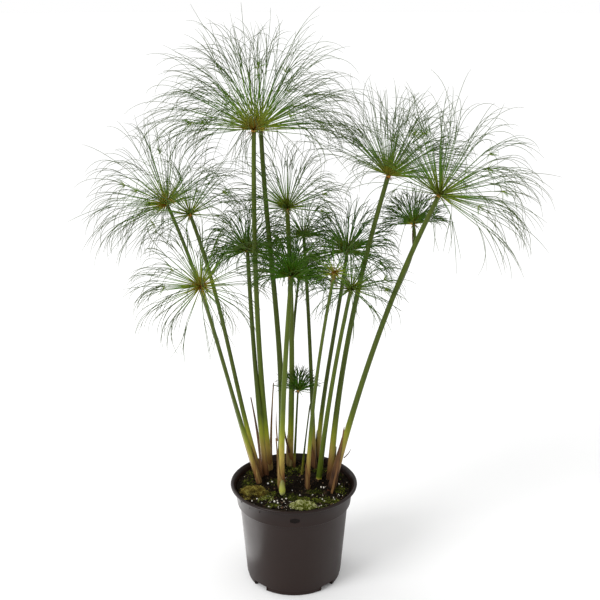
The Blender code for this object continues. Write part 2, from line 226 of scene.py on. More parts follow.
for cutter, operation in ((linings, "UNION"), (gaps, "DIFFERENCE"), (recess, "DIFFERENCE")):
    apply_modifier(pot, "BOOLEAN", object=cutter, operation=operation, solver="EXACT")
    bpy.data.objects.remove(cutter)
pot.select_set(True)
bpy.ops.object.shade_smooth_by_angle(angle=math.radians(35))


def store(piece, name, values):
    """Keeps a number on each vertex of a piece, for its material to read."""
    made = piece.data.attributes.new(name, "FLOAT", "POINT")
    made.data.foreach_set("value", np.broadcast_to(values, len(piece.data.vertices)).astype(np.float32))


def tone_of(tree):
    """The shade stored on each copy or thread, from 0 to 1."""
    return add_node(tree, "Attribute", attribute_name="tone").outputs["Fac"]


heights = np.array([vert.co.z for vert in pot.data.vertices])
outward = np.array([math.hypot(vert.co.x, vert.co.y) for vert in pot.data.vertices])
# The rolled lip and the top of the collar just under it are marked for painted shade.
store(pot, "tone", np.where((heights > lip_height - 3.1 * MM) & (outward > collar_top - 0.1 * MM), 0.0, 1.0))
plastic, tree, shader = new_finish("pot_plastic", 0.48, 0.03)
cloud = ramp(tree, mottle(tree, 9.0), [(0.3, (0.0122, 0.0042, 0.0024)), (0.7, (0.0150, 0.0056, 0.0034))])
# Painted shade: the marked lip and collar top are multiplied by a darker, warmer colour.
painted_lip_shade = ramp(tree, tone_of(tree), [(0.0, (0.72, 0.66, 0.54)), (1.0, 1.0)])
tree.links.new(blend_colours(tree, 1.0, cloud, painted_lip_shade, "MULTIPLY"), shader.inputs["Base Color"])
tree.links.new(ramp(tree, mottle(tree, 40.0), [(0.3, 0.46), (0.7, 0.56)]), shader.inputs["Roughness"])
shader.inputs["Coat Weight"].default_value = 0.42
shader.inputs["Coat Roughness"].default_value = 0.35
roughen(tree, shader, mottle(tree, 900.0, 2.0), 0.05, 0.0002)
place_piece(pot, plastic, "pot_plastic", "pot")
# The recess floor gets a darker colour than the pot plastic around it: painted shade in the hollow.
recess_painted_shade, tree, shader = new_finish("pot_recess_painted_shade", 0.6, 0.1)
tree.links.new(ramp(tree, mottle(tree, 60.0), [(0.3, (0.0055, 0.0035, 0.0030)), (0.7, (0.0080, 0.0052, 0.0045))]), shader.inputs["Base Color"])
roughen(tree, shader, mottle(tree, 900.0, 2.0), 0.05, 0.0002)
pot.data.materials.append(recess_painted_shade)
for face in pot.data.polygons:
    across = Vector(face.center) - Vector(RECESS_CENTRE)
    if abs(across.x) < 7.9 * MM and abs(across.z) < 4.4 * MM and abs(across.y - 0.8 * MM) < 0.05 * MM:
        face.material_index = 1

# Soil
# Dark peaty potting soil up to 10 mm below the rim: a lumpy surface on the root ball, with loose crumbs on it.
# The crumbs are four modelled lumps, copied and turned.
soil_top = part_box("soil")[1].z
soil_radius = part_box("soil")[1].x
SOIL_CELLS = 110
CRUMBS = 2600


def small_lump(seed, scatter_offset):
    """A rough little ball of unit size."""
    bpy.ops.mesh.primitive_ico_sphere_add(subdivisions=1, radius=1)
    lump = bpy.context.object
    bpy.ops.object.mode_set(mode="EDIT")
    bpy.ops.transform.vertex_random(offset=scatter_offset, seed=seed)
    bpy.ops.object.mode_set(mode="OBJECT")
    return lump


def scatter(name, shapes, places, tones):
    """One piece of many copies of modelled shapes: a 4 by 4 matrix and a tone for each copy."""
    points, faces, shades, first = [], [], [], 0
    for number, shape in enumerate(shapes):
        own = places[number::len(shapes)]
        corners = np.array([vert.co for vert in shape.data.vertices])
        sides = np.array([face.vertices for face in shape.data.polygons])
        copies = np.einsum("nij,vj->nvi", own[:, :3, :3], corners) + own[:, None, :3, 3]
        starts = first + np.arange(len(own))[:, None, None] * len(corners)
        points.append(copies.reshape(-1, 3))
        faces.append((sides[None] + starts).reshape(-1, 3))
        shades.append(np.repeat(tones[number::len(shapes)], len(corners)))
        first += len(own) * len(corners)
    for shape in shapes:
        bpy.data.objects.remove(shape)
    mesh = bpy.data.meshes.new(name)
    mesh.from_pydata(np.concatenate(points).tolist(), [], np.concatenate(faces).tolist())
    tone = mesh.attributes.new("tone", "FLOAT", "POINT")
    tone.data.foreach_set("value", np.concatenate(shades).astype(np.float32))
    piece = bpy.data.objects.new(name, mesh)
    bpy.context.collection.objects.link(piece)
    return piece


def poses_at(points, sizes, rng, upright=False):
    """A matrix for each point: turned at random, or only about the upright axis, and scaled."""
    places = []
    for point, size in zip(points, sizes):
        spin = rng.uniform(-math.pi, math.pi, 3)
        turn = Matrix.Rotation(spin[0], 4, "Z")
        if not upright:
            turn = turn @ Matrix.Rotation(spin[1], 4, "X") @ Matrix.Rotation(spin[2], 4, "Y")
        scale = Matrix.Diagonal((*size, 1.0))
        places.append(Matrix.Translation(point) @ turn @ scale)
    return np.array(places)


bpy.ops.mesh.primitive_grid_add(x_subdivisions=SOIL_CELLS, y_subdivisions=SOIL_CELLS, size=2)
soil = bpy.context.object
soil.name = "soil_surface"
for vert in soil.data.vertices:
    x, y = vert.co.x, vert.co.y
    vert.co.x = x * math.sqrt(1 - y * y / 2) * (soil_radius - 0.6 * MM)
    vert.co.y = y * math.sqrt(1 - x * x / 2) * (soil_radius - 0.6 * MM)
    vert.co.z = soil_top + 1.6 * MM
for size, strength in ((22.0 * MM, 3.6 * MM), (4.5 * MM, 2.4 * MM)):
    clouds = bpy.data.textures.new("soil lumps", "CLOUDS")
    clouds.noise_scale = size
    apply_modifier(soil, "DISPLACE", texture=clouds, strength=strength, mid_level=0.5)
apply_modifier(soil, "SOLIDIFY", thickness=5.0 * MM, offset=-1.0)
soil_tree = BVHTree.FromObject(soil, bpy.context.evaluated_depsgraph_get())


def on_soil(x, y):
    """The point of the soil's surface above a place."""
    hit = soil_tree.ray_cast(Vector((x, y, soil_top + 50 * MM)), Vector((0, 0, -1)))[0]
    return hit or Vector((x, y, soil_top))


earth, tree, shader = new_finish("potting_soil", 0.95, 0.05)
dark, light = (0.0030, 0.0022, 0.0014), (0.015, 0.0105, 0.0060)
tree.links.new(ramp(tree, mottle(tree, 260.0, 5.0), [(0.35, dark), (0.7, light)]), shader.inputs["Base Color"])
roughen(tree, shader, mottle(tree, 500.0, 5.0), 0.9, 0.0015)
place_piece(soil, earth, "potting_soil")
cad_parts["soil"].data.materials.clear()
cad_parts["soil"].data.materials.append(earth)

rng = np.random.default_rng(11)
spread = np.sqrt(rng.uniform(0, 1, CRUMBS)) * (soil_radius - 2.5 * MM)
around = rng.uniform(0, math.tau, CRUMBS)
spots = [on_soil(r * math.cos(a), r * math.sin(a)) for r, a in zip(spread, around)]
sizes = rng.gamma(3.0, 0.26, (CRUMBS, 1)) * rng.uniform(0.6, 1.2, (CRUMBS, 3)) * MM + 0.25 * MM
crumbs = scatter("soil_crumbs", [small_lump(seed, 0.55) for seed in range(4)], poses_at(spots, sizes, rng), rng.uniform(0, 1, CRUMBS))
crumb, tree, shader = new_finish("soil_crumb", 0.95, 0.05)
stops = [(0.0, (0.003, 0.0025, 0.0015)), (0.7, (0.013, 0.009, 0.006)), (0.93, (0.045, 0.026, 0.015)), (1.0, (0.16, 0.10, 0.06))]
tree.links.new(ramp(tree, tone_of(tree), stops), shader.inputs["Base Color"])
place_piece(crumbs, crumb, "potting_soil")

# Perlite
# White grains of expanded volcanic glass that were mixed into the soil and lie open on it, most at the front.
# Each is a small lump of the same kind as the crumbs, in loose clusters, with some larger grains among them.
PERLITE_CLUSTERS = [
    ((-38, -39), 9, 6), ((-46, -58), 10, 4), ((-17, -60), 14, 13), ((-32, -68), 9, 3), ((38, -38), 7, 6),
    ((66, -33), 8, 6), ((54, -60), 10, 6), ((40, -72), 7, 4), ((0, -70), 9, 3), ((-4, -50), 11, 5),
    ((10, 5), 24, 8), ((30, 20), 20, 7), ((66, 10), 10, 6), ((-20, 62), 22, 8), ((-64, 14), 12, 5),
]
LARGE_GRAINS = [
    (-39, 5), (-33, 12), (-48, -12), (-51, -29), (-54, -41), (-11, -40), (-17, -44), (-24, -46), (-23, -54),
    (9, -32), (41, -6), (45, -7), (60, -46), (45, -48), (42, -44), (37, -64), (40, -62), (-36, -66), (-41, -56),
    (-61, -48), (28, -30), (80, 8), (-34, -53), (-44, -23), (-28, -50), (-14, -50), (68, 2), (72, -6),
]
rng = np.random.default_rng(12)
spots = []
for (x, y), width, count in PERLITE_CLUSTERS:
    for dx, dy in rng.normal(0, width * 0.6, (count, 2)):
        place = Vector(((x + dx) * MM, (y + dy) * MM))
        if place.length < soil_radius - 4 * MM:
            spots.append(on_soil(*place) + Vector((0, 0, 0.3 * MM)))
sizes = rng.uniform(0.40, 0.90, len(spots))
for x, y in LARGE_GRAINS:
    spots.append(on_soil(x * MM, y * MM) + Vector((0, 0, 0.8 * MM)))
sizes = np.concatenate([sizes, rng.uniform(1.0, 1.55, len(LARGE_GRAINS))])[:, None] * rng.uniform(0.8, 1.15, (len(spots), 3)) * MM
tones = rng.uniform(0, 1, len(spots))
grains = scatter("perlite", [small_lump(seed + 20, 0.35) for seed in range(3)], poses_at(spots, sizes, rng), tones)
perlite, tree, shader = new_finish("perlite", 0.9, 0.3)
stops = [(0.0, (0.26, 0.23, 0.17)), (0.5, (0.54, 0.50, 0.42)), (1.0, (0.82, 0.80, 0.74))]
tree.links.new(ramp(tree, tone_of(tree), stops), shader.inputs["Base Color"])
place_piece(grains, perlite, "potting_soil")

# Moss
# Living moss on the soil: an olive brown cushion at the left, a bright green one at the front, and thin green
# patches between the stems. Each is a low mound covered with small tufts of pointed leaves.
MOSS_PATCHES = [
    ((-42, -40), (13, 9), 380, 0.62), ((-68, 10), (9, 13), 260, 0.40), ((-62, 38), (11, 10), 200, 0.45),
    ((0, 50), (20, 16), 420, 0.48), ((70, -14), (9, 14), 260, 0.42), ((42, -46), (17, 10), 450, 0.46),
    ((20, -42), (16, 8), 340, 0.44), ((40, 50), (16, 12), 220, 0.40), ((-22, 12), (16, 14), 260, 0.34),
    ((60, -52), (9, 8), 200, 0.46), ((-30, -62), (12, 7), 200, 0.46), ((2, -44), (10, 6), 150, 0.36),
    ((44, -66), (9, 5), 130, 0.40), ((-32, -26), (10, 8), 260, 0.40), ((-6, -34), (12, 8), 220, 0.32),
    ((-72, -8), (6, 12), 160, 0.32), ((30, -20), (14, 10), 260, 0.34), ((64, 30), (10, 14), 200, 0.34),
]
TUFT_LEAVES = 6
# Bright or whitish spots on the cushions: place, width and how much lighter
PALE_CLUMPS = [
    (0, -58, 7, 0.24), (10, -55, 5, 0.16), (-2, -75, 5, 0.42), (9, -76, 5, 0.40), (31, -66, 4, 0.45), (20, -60, 6, 0.05),
    (-50, -30, 6, 0.12),
]


def moss_tuft(seed):
    """A star of narrow pointed leaves of unit height, leaning outwards."""
    leaves = []
    for leaf in range(TUFT_LEAVES):
        angle = math.tau * leaf / TUFT_LEAVES + seed
        lean = math.radians(18 + 26 * (leaf % 3))
        turn = Matrix.Rotation(angle, 4, "Z") @ Matrix.Rotation(lean, 4, "Y")
        bpy.ops.mesh.primitive_cone_add(vertices=3, radius1=0.17, radius2=0, depth=1)
        blade = bpy.context.object
        blade.data.transform(turn @ Matrix.Translation((0, 0, 0.45)))
        leaves.append(blade)
    with bpy.context.temp_override(active_object=leaves[0], selected_editable_objects=leaves):
        bpy.ops.object.join()
    return leaves[0]


def moss_mound(node, lumps, strength):
    """A smooth, lumpy copy of a CAD moss cushion."""
    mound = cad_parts[node].copy()
    mound.data = mound.data.copy()
    for key in list(mound.keys()):
        del mound[key]
    mound.name = node + "_mound"
    bpy.context.collection.objects.link(mound)
    apply_modifier(mound, "WELD", merge_threshold=0.01 * MM)
    apply_modifier(mound, "SUBSURF", levels=3, render_levels=3)
    clouds = bpy.data.textures.new("moss lumps", "CLOUDS")
    clouds.noise_scale = lumps
    apply_modifier(mound, "DISPLACE", texture=clouds, strength=strength, mid_level=0.45)
    return mound


def moss_finish(name, stops):
    """A matt finish whose colours run with the tone of each tuft and a fine mottle."""
    made, tree, shader = new_finish(name, 0.9, 0.1)
    shade = add_node(tree, "Math", operation="MULTIPLY_ADD")
    shade.inputs[1].default_value = 0.45
    tree.links.new(mottle(tree, 190.0), shade.inputs[0])
    tree.links.new(tone_of(tree), shade.inputs[2])
    tree.links.new(ramp(tree, shade.outputs[0], stops), shader.inputs["Base Color"])
    return made


moss = moss_finish(
    "moss_green",
    [
        (0.15, (0.006, 0.008, 0.002)), (0.42, (0.040, 0.050, 0.006)), (0.66, (0.125, 0.145, 0.014)),
        (0.85, (0.28, 0.31, 0.06)), (1.0, (0.56, 0.56, 0.30)),
    ]
)
olive_moss = moss_finish(
    "moss_olive", [(0.15, (0.016, 0.011, 0.003)), (0.45, (0.075, 0.052, 0.009)), (0.7, (0.19, 0.14, 0.022)), (1.0, (0.34, 0.30, 0.07))]
)

rng = np.random.default_rng(13)
for node, finish, lumps, strength, count, tone, height, fade in (
    ("moss_left", olive_moss, 7 * MM, 6.5 * MM, 700, 0.20, 2.4, 0.6),
    ("moss_front", moss, 5 * MM, 6.0 * MM, 2600, 0.57, 1.0, 0.0)
):
    mound = moss_mound(node, lumps, strength)
    shades = mound.data.attributes.new("tone", "FLOAT", "POINT")
    shades.data.foreach_set("value", np.full(len(mound.data.vertices), tone - 0.30, np.float32))
    place_piece(mound, finish, "moss_green", node)
    low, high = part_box(node)
    middle = (low + high) / 2
    surface = BVHTree.FromObject(mound, bpy.context.evaluated_depsgraph_get())
    spots, tones = [], []
    while len(spots) < count:
        x, y = rng.uniform(low.x, high.x), rng.uniform(low.y, high.y)
        hit = surface.ray_cast(Vector((x, y, high.z + 20 * MM)), Vector((0, 0, -1)))[0]
        if hit:
            spots.append(hit)
            out = math.hypot((x - middle.x) * 2 / (high.x - low.x), (y - middle.y) * 2 / (high.y - low.y))
            dome = low.z + (high.z - low.z) * math.sqrt(max(0.0, 1 - out * out))
            clumps = noise.noise(Vector((x, y, 0.0)) * 230) * 0.45 + noise.noise(Vector((x, y, 0.1)) * 620) * 0.35
            pale = sum(math.exp(-((x - px * MM) ** 2 + (y - py * MM) ** 2) / (px_size * MM) ** 2) * add for px, py, px_size, add in PALE_CLUMPS)
            # Tufts above the smooth dome are made lighter and those in its dips darker: painted light and painted shade
            # on the lumps.
            painted_lump_light = np.clip((hit.z - dome) / (1.8 * MM), -1, 1) * 0.24
            tones.append(tone + clumps + pale + painted_lump_light + rng.uniform(-0.16, 0.18) - fade * max(0.0, out - 0.5))
    sizes = rng.uniform(0.55, 1.15, (count, 1)) * np.array([[1.2, 1.2, 1.0]]) * height * MM
    tufts = scatter(node + "_tufts", [moss_tuft(0.0), moss_tuft(0.5)], poses_at(spots, sizes, rng, True), np.array(tones))
    place_piece(tufts, finish, "moss_green")

low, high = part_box("moss_left")
middle, half = (low + high) / 2, (high - low) / 2
spots, tones = [], []
for x, y in rng.normal(0, 0.74, (680, 2)):
    place = Vector((middle.x + x * half.x, middle.y + y * half.y))
    if place.length < soil_radius - 3 * MM:
        height = math.sqrt(max(0.0, 1 - x * x - y * y)) * (high.z - low.z)
        spots.append(Vector((*place, soil_top + height)))
        streak = noise.noise(Vector((place.x * 110, place.y * 420, 2.0)))
        tones.append(0.42 + streak * 1.1 + rng.uniform(-0.2, 0.2) - 0.5 * max(0.0, math.hypot(x, y) - 0.7))
sizes = rng.uniform(0.5, 1.2, (len(spots), 1)) * np.array([[7.0, 7.0, 3.0]]) * MM
strands = scatter("moss_left_strands", [moss_tuft(0.2), moss_tuft(0.7)], poses_at(spots, sizes, rng, True), np.array(tones))
place_piece(strands, olive_moss, "moss_green")

spots, tones = [], []
for (x, y), (wide, deep), count, tone in MOSS_PATCHES:
    for dx, dy in rng.normal(0, 0.45, (count, 2)):
        place = Vector(((x + dx * wide) * MM, (y + dy * deep) * MM))
        if place.length < soil_radius - 3 * MM:
            spots.append(on_soil(*place))
            tones.append(rng.uniform(tone - 0.42, tone + 0.05) + noise.noise(Vector((*place, 0.3)) * 300) * 0.35)
sizes = rng.uniform(0.5, 1.2, (len(spots), 1)) * np.array([[1.2, 1.2, 1.0]]) * 1.8 * MM
patches = scatter("moss_patches", [moss_tuft(0.0), moss_tuft(0.5)], poses_at(spots, sizes, rng, True), np.array(tones))
place_piece(patches, moss, "moss_green")

# Stems
# Seventeen smooth papyrus stems with a bluntly three-cornered section, without leaves. They are reddish brown
# at the foot, then olive, and fresh green above. Each follows the middle of its CAD node.
STEM_SECTION_POINTS = 18
STEM_LEVELS = 40
# How light each stem is, partly its own green and partly painted light and shade; how many millimetres up its
# foot is brown; and how much painted light brightens a band 10 to 160 mm above the soil, most at 85 mm
STEM_LOOKS = {
    "01": (0.92, 54, 0.28), "02": (0.50, 40, 0.0), "03": (0.46, 66, 0.08), "04": (0.50, 64, 0.20),
    "05": (0.58, 62, 0.08), "06": (0.46, 56, 0.26), "07": (0.82, 56, 0.22), "08": (0.42, 60, 0.0),
    "09": (0.98, 86, 0.0), "10": (0.22, 12, 0.0), "11": (0.56, 66, 0.10), "12": (0.56, 84, 0.0),
    "13": (0.34, 92, 0.0), "14": (0.32, 60, 0.12), "15": (0.78, 60, 0.0), "16": (0.84, 4, 0.14),
    "17": (0.26, 20, 0.0),
}


def spine_of(node, degree=3):
    """The middle line and the radius of a CAD stem, as functions of height, and its lowest and highest point."""
    corners = np.unique(np.array([vert.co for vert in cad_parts[node].data.vertices]).round(5), axis=0)
    levels = np.unique(corners[:, 2])
    rings = [corners[corners[:, 2] == level] for level in levels]
    middles = np.array([ring.mean(axis=0) for ring in rings])
    radii = [np.linalg.norm(ring - middle, axis=1).max() for ring, middle in zip(rings, middles)]
    x_line = np.polyfit(levels, middles[:, 0], degree)
    y_line = np.polyfit(levels, middles[:, 1], degree)

    def middle_at(z):
        return Vector((np.polyval(x_line, z), np.polyval(y_line, z), z))

    def radius_at(z):
        return float(np.interp(z, levels, radii))

    return middle_at, radius_at, levels[0], levels[-1]


def add_section(bluntness):
    """A closed outline of unit radius, rounder or more three-cornered, that a curve carries along."""
    outline = bpy.data.curves.new("section", "CURVE")
    line = outline.splines.new("POLY")
    line.points.add(STEM_SECTION_POINTS - 1)
    for number, point in enumerate(line.points):
        angle = -math.tau * number / STEM_SECTION_POINTS
        out = 1 - bluntness * (1 - math.cos(3 * angle)) / 2
        point.co = (out * math.cos(angle), out * math.sin(angle), 0, 1)
    line.use_cyclic_u = True
    thing = bpy.data.objects.new("section", outline)
    bpy.context.collection.objects.link(thing)
    return thing


def drawn_tube(name, middles, radii, section, twist=0.0):
    """A closed tube through points, with a radius at each and a section, made a mesh."""
    path = bpy.data.curves.new(name, "CURVE")
    path.dimensions = "3D"
    path.bevel_mode = "OBJECT"
    path.bevel_object = section
    path.use_fill_caps = True
    line = path.splines.new("POLY")
    line.points.add(len(middles) - 1)
    for point, middle, radius in zip(line.points, middles, radii):
        point.co = (*middle, 1)
        point.radius = radius
        point.tilt = twist
    tube = bpy.data.objects.new(name, path)
    bpy.context.collection.objects.link(tube)
    bpy.ops.object.select_all(action="DESELECT")
    tube.select_set(True)
    bpy.context.view_layer.objects.active = tube
    bpy.ops.object.convert(target="MESH")
    bpy.ops.object.shade_smooth_by_angle(angle=math.radians(50))
    return tube


stem_green, tree, shader = new_finish("culm_green", 0.45, 0.20)
height = add_node(tree, "Attribute", attribute_name="ripeness").outputs["Fac"]
wander = add_node(tree, "Math", operation="MULTIPLY_ADD")
wander.inputs[1].default_value = 0.5
tree.links.new(mottle(tree, 55.0, 3.0, (1, 1, 0.12)), wander.inputs[0])
tree.links.new(height, wander.inputs[2])
foot_colours = ramp(
    tree, wander.outputs[0],
    [
        (0.0, (0.075, 0.026, 0.012)),
        (0.22, (0.21, 0.105, 0.036)),
        (0.45, (0.32, 0.24, 0.055)),
        (0.66, (0.22, 0.235, 0.018)),
        (0.84, (0.120, 0.150, 0.009)),
        (1.0, (0.068, 0.096, 0.008)),
    ],
)
# The tone lightens or darkens a whole stem's colour: partly its own shade of green, partly painted light and shade.
shades = ramp(tree, tone_of(tree), [(0.0, 0.42), (0.5, 1.25), (1.0, 2.6)])
streaks = ramp(tree, mottle(tree, 420.0, 2.0, (1, 1, 0.02)), [(0.3, 0.82), (0.7, 1.12)])
shaded = blend_colours(tree, 1.0, foot_colours, shades, "MULTIPLY")
tree.links.new(blend_colours(tree, 1.0, shaded, streaks, "MULTIPLY"), shader.inputs["Base Color"])
roughen(tree, shader, mottle(tree, 700.0, 2.0, (1, 1, 0.02)), 0.3, 0.0003)

stem_section = add_section(0.08)
spines = {}
for name, (tone, rust, painted_light_band) in STEM_LOOKS.items():
    node = "culm_" + name
    spines[name] = spine_of(node, 5 if name == "13" else 3)
    middle_at, radius_at, low, high = spines[name]
    levels = np.linspace(low, high, STEM_LEVELS)
    stem = drawn_tube("stem_" + name, [middle_at(z) for z in levels], [radius_at(z) for z in levels], stem_section, 2.0 * int(name))
    heights = np.array([vert.co.z for vert in stem.data.vertices]) - soil_top
    store(stem, "ripeness", np.clip(heights / (rust * MM) * 0.55 - 0.25 + np.clip(heights / (250 * MM), 0, 1) * 0.15, -0.3, 2.0))
    # Tone is partly the stem's own green and partly painted light and shade; the band about 85 mm up is painted light.
    store(stem, "tone", tone / 2 + painted_light_band * np.clip(1 - np.abs(heights / MM - 85) / 75, 0, 1))
    place_piece(stem, stem_green, "culm_green", node)

# Sheaths
# Dry leaf sheaths, brown and papery, wrapped round the foot of nine stems. The mouth is cut slantwise and
# drawn out to a ragged point on one side.
SHEATH_SIDES = 20
SHEATH_LEVELS = 14
SHEATH_LOOKS = {
    "01": (0.50, 120), "05": (0.38, 40), "07": (0.66, 150), "08": (0.22, 180), "09": (0.44, 160), "11": (0.10, 20),
    "12": (0.06, 200), "14": (-0.12, 140), "15": (0.26, 190),
}

husk, tree, shader = new_finish("sheath_brown", 0.7, 0.25)
fibres = ramp(tree, mottle(tree, 600.0, 3.0, (1, 1, 0.03)), [(0.3, 0.6), (0.7, 1.2)])
tones = [(0.0, (0.040, 0.017, 0.008)), (0.35, (0.135, 0.062, 0.020)), (0.6, (0.27, 0.170, 0.050)), (0.8, (0.38, 0.30, 0.095)), (1.0, (0.60, 0.50, 0.33))]
blotch = add_node(tree, "Math", operation="MULTIPLY_ADD")
blotch.inputs[1].default_value = 0.7
tree.links.new(mottle(tree, 110.0, 3.0, (1, 1, 0.3)), blotch.inputs[0])
tree.links.new(tone_of(tree), blotch.inputs[2])
shift = add_node(tree, "Math", operation="SUBTRACT")
shift.inputs[1].default_value = 0.35
tree.links.new(blotch.outputs[0], shift.inputs[0])
tree.links.new(blend_colours(tree, 1.0, ramp(tree, shift.outputs[0], tones), fibres, "MULTIPLY"), shader.inputs["Base Color"])
roughen(tree, shader, mottle(tree, 600.0, 3.0, (1, 1, 0.03)), 0.5, 0.0006)

rng = np.random.default_rng(14)
for name, (tone, facing) in SHEATH_LOOKS.items():
    middle_at, radius_at, low, high = spines[name]
    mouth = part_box("sheath_" + name)[1].z - low
    bpy.ops.mesh.primitive_cylinder_add(vertices=SHEATH_SIDES, radius=1, depth=1, end_fill_type="NOTHING", location=(0, 0, 0.5))
    sheath = bpy.context.object
    sheath.name = "sheath_wrap_" + name
    bpy.ops.object.transform_apply(location=True, rotation=True, scale=True)
    bpy.ops.object.mode_set(mode="EDIT")
    bpy.ops.mesh.select_all(action="DESELECT")
    bpy.ops.object.mode_set(mode="OBJECT")
    for edge in sheath.data.edges:
        ends = [sheath.data.vertices[index].co for index in edge.vertices]
        edge.select = abs(ends[0].z - ends[1].z) > 0.5
    bpy.ops.object.mode_set(mode="EDIT")
    bpy.ops.mesh.subdivide_edgering(number_cuts=SHEATH_LEVELS)
    bpy.ops.object.mode_set(mode="OBJECT")
    facing = math.radians(facing)
    ragged = rng.uniform(-0.05, 0.05, SHEATH_SIDES)
    streaks = rng.normal(0, 0.13, SHEATH_SIDES)
    for vert in sheath.data.vertices:
        angle = math.atan2(vert.co.y, vert.co.x)
        side = round(angle / math.tau * SHEATH_SIDES) % SHEATH_SIDES
        lift = 0.20 + 0.80 * ((1 + math.cos(angle - facing)) / 2) ** 1.4 + ragged[side]
        share = vert.co.z
        z = low + share * min(lift, 1.0) * mouth
        flare = 0.20 * MM + 0.7 * MM * share**3 + 0.15 * MM * math.sin(3 * angle + 9 * share)
        out = max(radius_at(z), radius_at(low) * (1 - 0.2 * share)) + flare
        vert.co = middle_at(z) + Vector((out * math.cos(angle), out * math.sin(angle), 0))
    apply_modifier(sheath, "SOLIDIFY", thickness=0.35 * MM, offset=1.0)
    apply_modifier(sheath, "SUBSURF", levels=1, render_levels=1)
    bpy.ops.object.shade_smooth()
    turns = [math.atan2(vert.co.y - middle_at(vert.co.z).y, vert.co.x - middle_at(vert.co.z).x) for vert in sheath.data.vertices]
    around = np.array(turns) / math.tau * SHEATH_SIDES
    rise = (np.array([vert.co.z for vert in sheath.data.vertices]) - low) / mouth
    store(sheath, "tone", tone + 0.22 * rise + np.interp(around, np.arange(SHEATH_SIDES), streaks, period=SHEATH_SIDES))
    place_piece(sheath, husk, "sheath_brown", "sheath_" + name)

# Dry leaves, young shoot and stub
# Leafless remains between the stems: two dry upright blades, a dry tip at the right, a cut stub, and a thin
# green young shoot. Each is drawn along the middle of its CAD node as a tube with a three-cornered section.
DRY_LOOKS = {"dead_stalk": 0.50, "dead_blade": 0.30, "dry_tip": 0.35, "cut_stub": 0.45}
flat_section = add_section(0.45)


def blade_line(node):
    """The middle points and half widths of a CAD blade, from its level rings."""
    corners = np.unique(np.array([vert.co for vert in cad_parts[node].data.vertices]).round(5), axis=0)
    levels = np.unique(corners[:, 2])
    rings = [corners[corners[:, 2] == level] for level in levels]
    middles = np.array([ring.mean(axis=0) for ring in rings])
    widths = [np.ptp(ring[:, 0]) / 2 for ring in rings]
    lines = [np.polyfit(levels, middles[:, axis], 2) for axis in (0, 1)]
    fine = np.linspace(levels[0], levels[-1], 24)
    points = [(np.polyval(lines[0], z), np.polyval(lines[1], z), z) for z in fine]
    return points, 1.25 * np.maximum(np.interp(fine, levels, widths), 0.9 * MM * (fine[-1] > fine))


for node, tone in DRY_LOOKS.items():
    points, widths = blade_line(node)
    blade = drawn_tube(node + "_blade", points, widths, flat_section, 0.4)
    store(blade, "tone", tone)
    place_piece(blade, husk, "sheath_brown" if node == "cut_stub" else "dead_leaf", node)
# Loose tips of sheaths: lower end, upper end, sideways bow, half width and shade
SHEATH_TIPS = [
    ((-7.5, 60, 170), (-16, 54, 238), -2.5, 1.7, 0.20), ((-24, -14, 225), (-25, -17, 277), -1.0, 1.2, 0.40),
    ((74, -17, 199), (84, -19, 216), 2.0, 0.9, 0.10),
]
shares = np.linspace(0, 1, 16)
for number, (start, end, bow, width, tone) in enumerate(SHEATH_TIPS):
    start, end = Vector(start) * MM, Vector(end) * MM
    points = [start.lerp(end, share) + Vector((bow * MM, 0, 0)) * math.sin(math.pi * share) for share in shares]
    tip = drawn_tube(f"sheath_tip_{number}", points, width * MM * (1.02 - shares**2), flat_section, 0.4)
    store(tip, "tone", tone)
    place_piece(tip, husk, "sheath_brown")
points, widths = blade_line("young_shoot")
shoot = drawn_tube("young_shoot_blade", points, widths, stem_section, 0.4)
store(shoot, "tone", 0.1)
store(shoot, "ripeness", np.clip((np.array([vert.co.z for vert in shoot.data.vertices]) - soil_top) / (60 * MM), 0.3, 2.0))
place_piece(shoot, stem_green, "culm_green", "young_shoot")
bpy.data.objects.remove(flat_section)
bpy.data.objects.remove(stem_section)

# New bud
# The swollen yellow green tip of a new shoot, just out of the soil, with overlapping scales.
low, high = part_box("new_bud")
middle = (low + high) / 2
bpy.ops.mesh.primitive_uv_sphere_add(segments=24, ring_count=16, radius=1, location=middle, scale=(high - low) / 2)
bud = bpy.context.object
bud.name = "bud"
bpy.ops.object.transform_apply(location=True, rotation=True, scale=True)
for vert in bud.data.vertices:
    share = (vert.co.z - low.z) / (high.z - low.z)
    angle = math.atan2(vert.co.y - middle.y, vert.co.x - middle.x)
    squeeze = 1.14 - 0.35 * max(0.0, share - 0.4) + 0.05 * math.cos(3 * angle + 5 * share)
    vert.co.x = middle.x + (vert.co.x - middle.x) * squeeze
    vert.co.y = middle.y + (vert.co.y - middle.y) * squeeze + 5.0 * MM * share**2
    vert.co.z += 5.0 * MM * share**2
bpy.ops.object.shade_smooth()
bud_green, tree, shader = new_finish("bud_green", 0.45, 0.4)
store(bud, "tone", np.array([(vert.co.z - low.z) / (high.z - low.z + 5.0 * MM) for vert in bud.data.vertices]))
pale = ramp(tree, tone_of(tree), [(0.0, (0.52, 0.54, 0.24)), (0.35, (0.42, 0.44, 0.07)), (0.75, (0.20, 0.20, 0.03)), (1.0, (0.10, 0.09, 0.02))])
streaks = ramp(tree, mottle(tree, 180.0, 3.0, (1, 1, 0.3)), [(0.3, 0.8), (0.7, 1.1)])
tree.links.new(blend_colours(tree, 1.0, pale, streaks, "MULTIPLY"), shader.inputs["Base Color"])
place_piece(bud, bud_green, "bud_green", "new_bud")

# Umbels
# On each stem stands a mop of fine threads: rays that leave the hub on all sides, straight for over half of
# their length, then parting into a few thinner, drooping raylets. A thread is modelled once, straight, and its
# copies are bent along lines that grow out of the hub. Short brown leaves stand under the hub.
RAY_STEPS = 7
RAYLET_STEPS = 11
BRACT_STEPS = 6
RAY_SHARE = 0.52
GOLDEN_ANGLE = math.radians(137.508)
DOWN = np.array([0.0, 0.0, -1.0])
